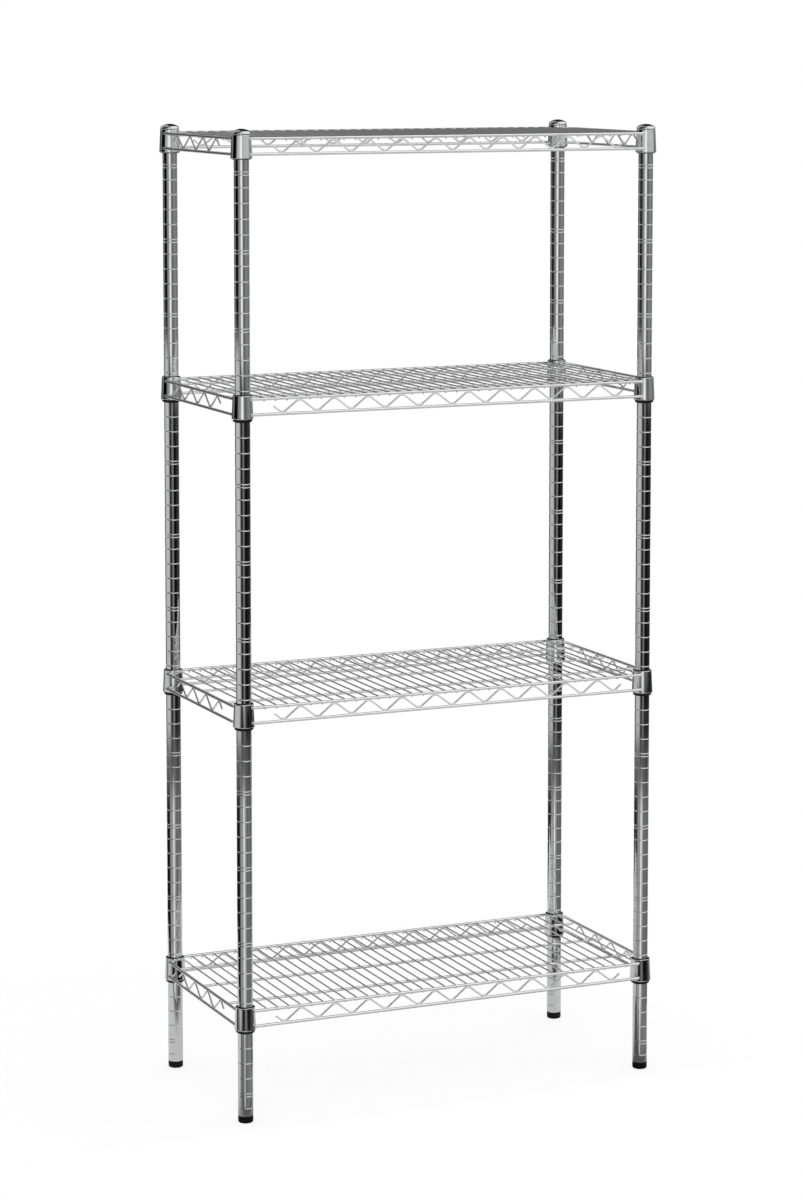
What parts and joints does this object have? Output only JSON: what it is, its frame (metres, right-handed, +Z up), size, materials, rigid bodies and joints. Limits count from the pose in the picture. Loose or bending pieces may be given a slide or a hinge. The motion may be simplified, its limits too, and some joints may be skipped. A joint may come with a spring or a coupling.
{
  "type": "wire shelving unit",
  "caption": "Chrome wire shelving unit: open wire shelves with zigzag trusses, held on grooved tubular posts by tapered collars and split sleeves, on levelling feet.",
  "frame": {"origin": "on the floor at the middle of the unit, level with the undersides of the feet", "axes": "+X to the right along the long front side, +Y from the front to the back, +Z up along the posts"},
  "size_m": [0.7616, 0.3654, 1.6186],
  "materials": {
    "chrome_post": "bright chrome on steel tube",
    "chrome_wire": "bright chrome on welded steel wire",
    "chrome_collar": "bright chrome on steel",
    "chrome_cap": "bright chrome",
    "black_sleeve": "moulded black plastic",
    "black_foot": "moulded black plastic",
    "zinc_steel": "zinc plated"
  },
  "bodies": {
    "frame": {"post_front_left": "chrome_post", "post_cap_front_left": "chrome_cap", "foot_insert_front_left": "zinc_steel", "post_front_right": "chrome_post", "post_cap_front_right": "chrome_cap", "foot_insert_front_right": "zinc_steel", "post_back_left": "chrome_post", "post_cap_back_left": "chrome_cap", "foot_insert_back_left": "zinc_steel", "post_back_right": "chrome_post", "post_cap_back_right": "chrome_cap", "foot_insert_back_right": "zinc_steel", "shelf_1_sleeve_front_left": "black_sleeve", "shelf_1_sleeve_front_right": "black_sleeve", "shelf_1_sleeve_back_left": "black_sleeve", "shelf_1_sleeve_back_right": "black_sleeve", "shelf_2_sleeve_front_left": "black_sleeve", "shelf_2_sleeve_front_right": "black_sleeve", "shelf_2_sleeve_back_left": "black_sleeve", "shelf_2_sleeve_back_right": "black_sleeve", "shelf_3_sleeve_front_left": "black_sleeve", "shelf_3_sleeve_front_right": "black_sleeve", "shelf_3_sleeve_back_left": "black_sleeve", "shelf_3_sleeve_back_right": "black_sleeve", "shelf_4_sleeve_front_left": "black_sleeve", "shelf_4_sleeve_front_right": "black_sleeve", "shelf_4_sleeve_back_left": "black_sleeve", "shelf_4_sleeve_back_right": "black_sleeve"},
    "foot_stem_front_left_body": {"foot_stem_front_left": "zinc_steel"},
    "foot_pad_front_left_body": {"foot_pad_front_left": "black_foot"},
    "foot_stem_front_right_body": {"foot_stem_front_right": "zinc_steel"},
    "foot_pad_front_right_body": {"foot_pad_front_right": "black_foot"},
    "foot_stem_back_left_body": {"foot_stem_back_left": "zinc_steel"},
    "foot_pad_back_left_body": {"foot_pad_back_left": "black_foot"},
    "foot_stem_back_right_body": {"foot_stem_back_right": "zinc_steel"},
    "foot_pad_back_right_body": {"foot_pad_back_right": "black_foot"},
    "shelf_1": {"shelf_1_collars": "chrome_collar", "shelf_1_long_rails": "chrome_wire", "shelf_1_side_rails": "chrome_wire", "shelf_1_zigzags": "chrome_wire", "shelf_1_mat_wires": "chrome_wire", "shelf_1_stringers": "chrome_wire"},
    "shelf_2": {"shelf_2_collars": "chrome_collar", "shelf_2_long_rails": "chrome_wire", "shelf_2_side_rails": "chrome_wire", "shelf_2_zigzags": "chrome_wire", "shelf_2_mat_wires": "chrome_wire", "shelf_2_stringers": "chrome_wire"},
    "shelf_3": {"shelf_3_collars": "chrome_collar", "shelf_3_long_rails": "chrome_wire", "shelf_3_side_rails": "chrome_wire", "shelf_3_zigzags": "chrome_wire", "shelf_3_mat_wires": "chrome_wire", "shelf_3_stringers": "chrome_wire"},
    "shelf_4": {"shelf_4_collars": "chrome_collar", "shelf_4_long_rails": "chrome_wire", "shelf_4_side_rails": "chrome_wire", "shelf_4_zigzags": "chrome_wire", "shelf_4_mat_wires": "chrome_wire", "shelf_4_stringers": "chrome_wire"}
  },
  "joints": [
    {"name": "foot_stem_front_left_screw_travel", "type": "slide", "parent": "frame", "child": "foot_stem_front_left_body", "axis": [0, 0, -1], "range_m": [0, 0.015]},
    {"name": "foot_pad_front_left_turn", "type": "hinge", "parent": "foot_stem_front_left_body", "child": "foot_pad_front_left_body", "pos_m": [-0.363, -0.165, 0], "axis": [0, 0, -1], "range_deg": [0, 3601]},
    {"name": "foot_stem_front_right_screw_travel", "type": "slide", "parent": "frame", "child": "foot_stem_front_right_body", "axis": [0, 0, -1], "range_m": [0, 0.015]},
    {"name": "foot_pad_front_right_turn", "type": "hinge", "parent": "foot_stem_front_right_body", "child": "foot_pad_front_right_body", "pos_m": [0.363, -0.165, 0], "axis": [0, 0, -1], "range_deg": [0, 3601]},
    {"name": "foot_stem_back_left_screw_travel", "type": "slide", "parent": "frame", "child": "foot_stem_back_left_body", "axis": [0, 0, -1], "range_m": [0, 0.015]},
    {"name": "foot_pad_back_left_turn", "type": "hinge", "parent": "foot_stem_back_left_body", "child": "foot_pad_back_left_body", "pos_m": [-0.363, 0.165, 0], "axis": [0, 0, -1], "range_deg": [0, 3601]},
    {"name": "foot_stem_back_right_screw_travel", "type": "slide", "parent": "frame", "child": "foot_stem_back_right_body", "axis": [0, 0, -1], "range_m": [0, 0.015]},
    {"name": "foot_pad_back_right_turn", "type": "hinge", "parent": "foot_stem_back_right_body", "child": "foot_pad_back_right_body", "pos_m": [0.363, 0.165, 0], "axis": [0, 0, -1], "range_deg": [0, 3601]},
    {"name": "shelf_1_lift", "type": "slide", "parent": "frame", "child": "shelf_1", "axis": [0, 0, 1], "range_m": [0, 0.0003]},
    {"name": "shelf_2_lift", "type": "slide", "parent": "frame", "child": "shelf_2", "axis": [0, 0, 1], "range_m": [0, 0.375]},
    {"name": "shelf_3_lift", "type": "slide", "parent": "frame", "child": "shelf_3", "axis": [0, 0, 1], "range_m": [0, 0.456]},
    {"name": "shelf_4_lift", "type": "slide", "parent": "frame", "child": "shelf_4", "axis": [0, 0, 1], "range_m": [0, 0.456]}
  ],
  "couplings": [
    {"joint": "foot_pad_front_left_turn", "follows": "foot_stem_front_left_screw_travel", "rad_per_m": 4188.8},
    {"joint": "foot_pad_front_right_turn", "follows": "foot_stem_front_right_screw_travel", "rad_per_m": 4188.8},
    {"joint": "foot_pad_back_left_turn", "follows": "foot_stem_back_left_screw_travel", "rad_per_m": 4188.8},
    {"joint": "foot_pad_back_right_turn", "follows": "foot_stem_back_right_screw_travel", "rad_per_m": 4188.8}
  ]
}
